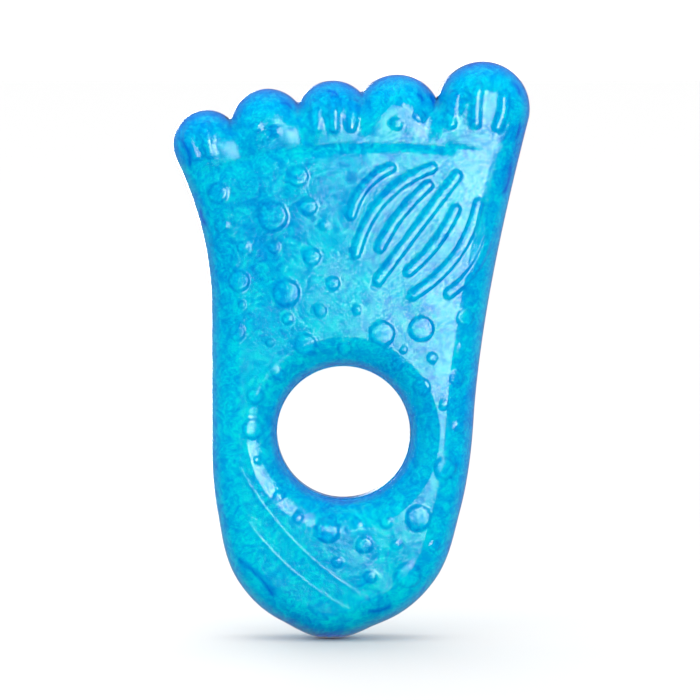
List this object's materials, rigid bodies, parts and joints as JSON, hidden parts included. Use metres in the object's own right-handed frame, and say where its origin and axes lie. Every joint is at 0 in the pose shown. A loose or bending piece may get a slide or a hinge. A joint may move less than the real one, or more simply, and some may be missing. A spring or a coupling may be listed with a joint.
{
  "type": "gel teether",
  "caption": "Foot-shaped, gel-filled baby teether in translucent blue plastic, with chewing bumps and ridges on the sole and a round grip hole through the heel.",
  "frame": {"origin": "centre of the grip hole, on the seam plane between the two half shells", "axes": "+X across the foot towards the big toe, +Y through the thickness from the sole to the back, +Z from the heel to the toes"},
  "size_m": [0.0712, 0.0155, 0.1156],
  "materials": {
    "front_plastic": "gloss, translucent",
    "back_plastic": "gloss, translucent",
    "gel": "frosted gel",
    "plug_plastic": "gloss",
    "seal_plastic": "gloss"
  },
  "bodies": {
    "root": {"front_shell": "front_plastic", "back_shell": "back_plastic", "gel_filling": "gel", "filler_plug": "plug_plastic", "filler_seal": "seal_plastic"}
  },
  "joints": []
}
